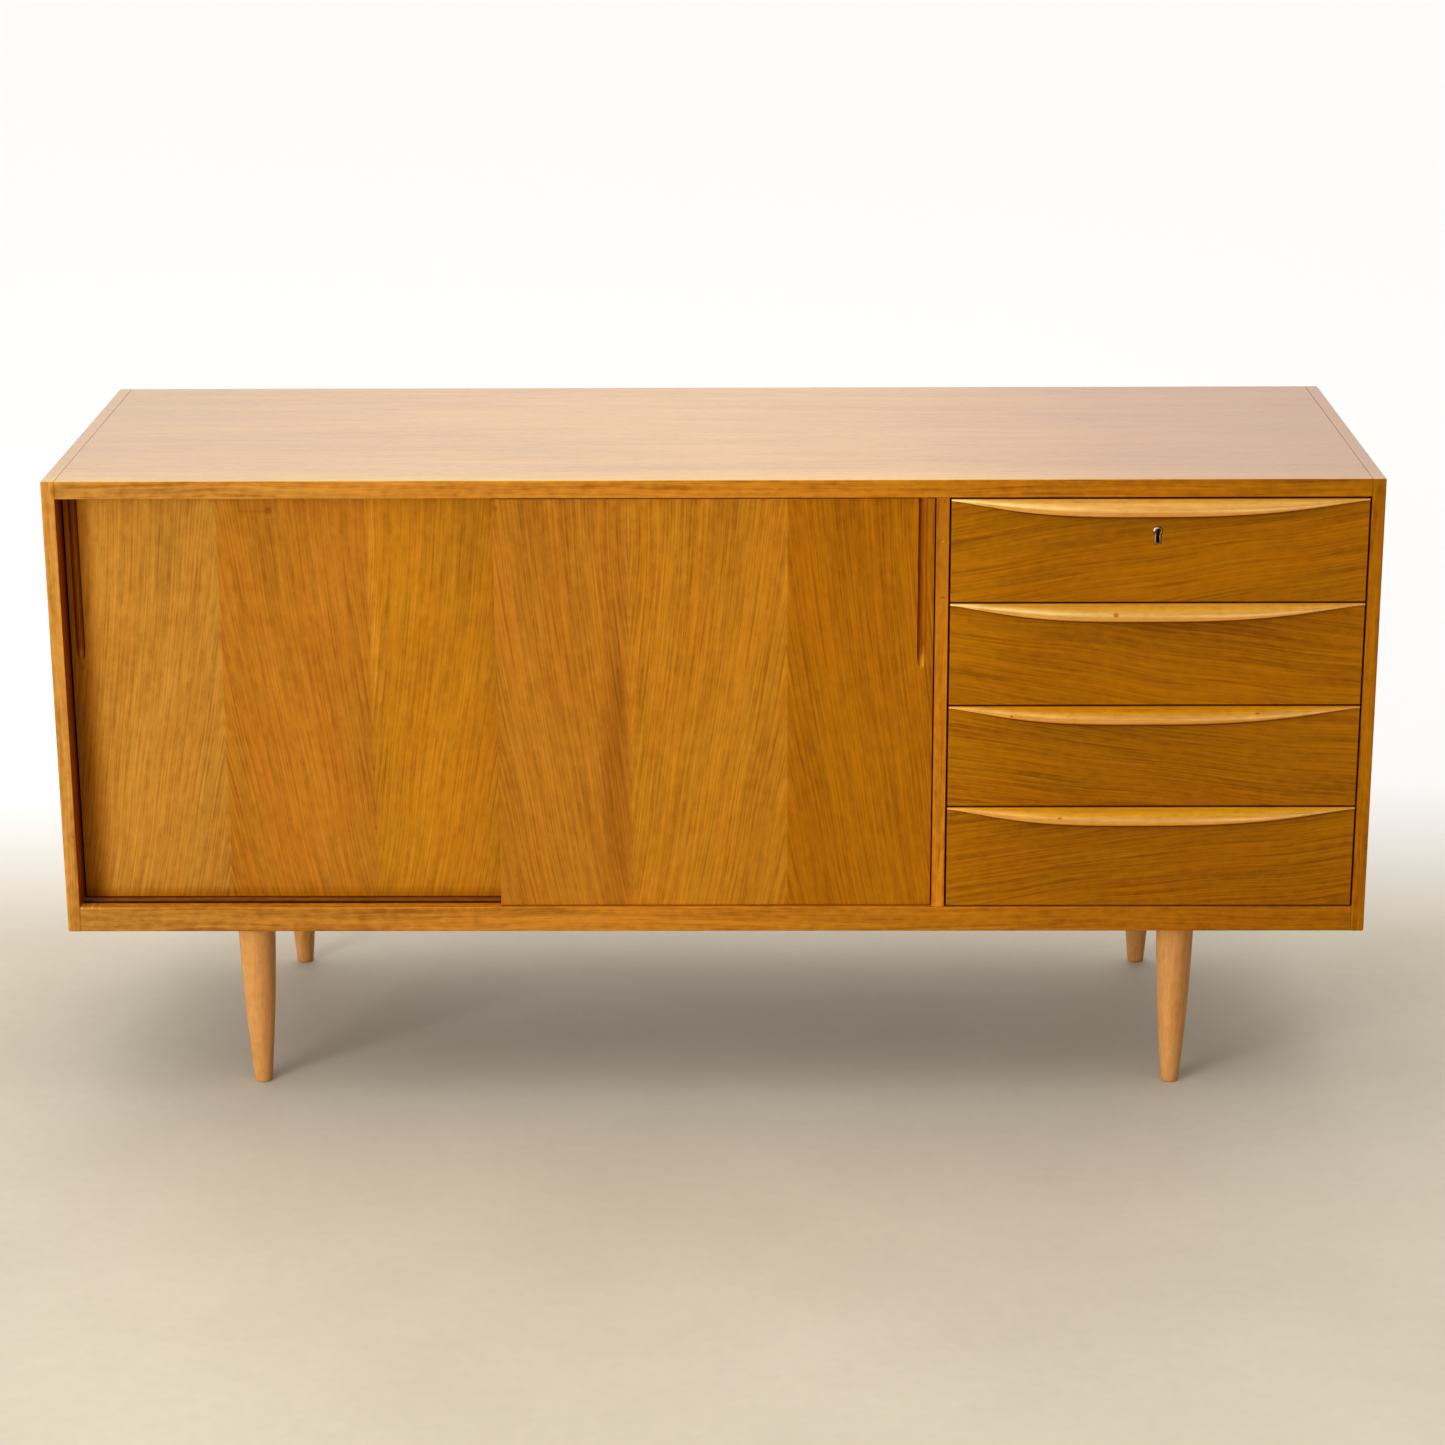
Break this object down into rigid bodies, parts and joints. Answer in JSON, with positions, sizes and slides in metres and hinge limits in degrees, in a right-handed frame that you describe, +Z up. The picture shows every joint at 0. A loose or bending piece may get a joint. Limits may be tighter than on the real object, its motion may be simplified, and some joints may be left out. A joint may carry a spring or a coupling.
{
  "type": "sideboard buffet",
  "caption": "Long low wooden sideboard on turned legs: sliding cupboard doors in vertical veneer leaves beside a bank of drawers with full-width carved lip pulls and a drawer lock.",
  "frame": {"origin": "on the floor, under the middle of the bounding box, drawer pulls included", "axes": "+X to the right as seen from the front, +Y to the back, +Z up"},
  "size_m": [1.5, 0.5232, 0.744],
  "materials": {
    "carcass_wood": "satin lacquer over golden-brown teak",
    "door_veneer": "satin lacquer over vertical teak veneer leaves",
    "drawer_veneer": "satin lacquer over horizontal teak veneer",
    "pull_wood": "lacquered lighter solid wood",
    "leg_wood": "matt turned beech",
    "drawer_box_wood": "plain waxed beech",
    "drawer_bottom_ply": "plain plywood",
    "runner_wood": "plain beech",
    "back_plywood": "stained plywood",
    "brass": "aged satin brass",
    "lock_steel": "dull steel"
  },
  "bodies": {
    "carcass": {"side_panel_left": "carcass_wood", "side_panel_right": "carcass_wood", "top_panel": "carcass_wood", "bottom_panel": "carcass_wood", "bottom_front_rail": "carcass_wood", "bottom_back_rail": "carcass_wood", "divider_panel": "carcass_wood", "back_panel": "back_plywood", "leg_batten_left": "runner_wood", "leg_batten_right": "runner_wood", "leg_front_left": "leg_wood", "leg_front_right": "leg_wood", "leg_back_left": "leg_wood", "leg_back_right": "leg_wood", "shelf": "carcass_wood", "shelf_pin_front_left": "brass", "shelf_pin_front_right": "brass", "shelf_pin_back_left": "brass", "shelf_pin_back_right": "brass", "drawer_1_runner_left": "runner_wood", "drawer_1_runner_right": "runner_wood", "drawer_2_runner_left": "runner_wood", "drawer_2_runner_right": "runner_wood", "drawer_3_runner_left": "runner_wood", "drawer_3_runner_right": "runner_wood", "drawer_4_runner_left": "runner_wood", "drawer_4_runner_right": "runner_wood"},
    "door_left": {"door_left": "door_veneer"},
    "door_right": {"door_right": "door_veneer"},
    "drawer_1": {"drawer_1_front": "drawer_veneer", "drawer_1_pull": "pull_wood", "drawer_1_side_left": "drawer_box_wood", "drawer_1_side_right": "drawer_box_wood", "drawer_1_back": "drawer_box_wood", "drawer_1_bottom": "drawer_bottom_ply", "lock_case": "lock_steel", "key_escutcheon": "brass"},
    "drawer_2": {"drawer_2_front": "drawer_veneer", "drawer_2_pull": "pull_wood", "drawer_2_side_left": "drawer_box_wood", "drawer_2_side_right": "drawer_box_wood", "drawer_2_back": "drawer_box_wood", "drawer_2_bottom": "drawer_bottom_ply"},
    "drawer_3": {"drawer_3_front": "drawer_veneer", "drawer_3_pull": "pull_wood", "drawer_3_side_left": "drawer_box_wood", "drawer_3_side_right": "drawer_box_wood", "drawer_3_back": "drawer_box_wood", "drawer_3_bottom": "drawer_bottom_ply"},
    "drawer_4": {"drawer_4_front": "drawer_veneer", "drawer_4_pull": "pull_wood", "drawer_4_side_left": "drawer_box_wood", "drawer_4_side_right": "drawer_box_wood", "drawer_4_back": "drawer_box_wood", "drawer_4_bottom": "drawer_bottom_ply"},
    "lock_bolt": {"lock_bolt": "lock_steel"}
  },
  "joints": [
    {"name": "door_left_slide", "type": "slide", "parent": "carcass", "child": "door_left", "axis": [1, 0, 0], "range_m": [0, 0.4805]},
    {"name": "door_right_slide", "type": "slide", "parent": "carcass", "child": "door_right", "axis": [1, 0, 0], "range_m": [-0.4865, 0.001]},
    {"name": "drawer_1_slide", "type": "slide", "parent": "carcass", "child": "drawer_1", "axis": [0, -1, 0], "range_m": [0, 0.36]},
    {"name": "drawer_2_slide", "type": "slide", "parent": "carcass", "child": "drawer_2", "axis": [0, -1, 0], "range_m": [0, 0.36]},
    {"name": "drawer_3_slide", "type": "slide", "parent": "carcass", "child": "drawer_3", "axis": [0, -1, 0], "range_m": [0, 0.36]},
    {"name": "drawer_4_slide", "type": "slide", "parent": "carcass", "child": "drawer_4", "axis": [0, -1, 0], "range_m": [0, 0.36]},
    {"name": "lock_bolt_slide", "type": "slide", "parent": "drawer_1", "child": "lock_bolt", "axis": [0, 0, 1], "range_m": [0, 0.008]}
  ]
}
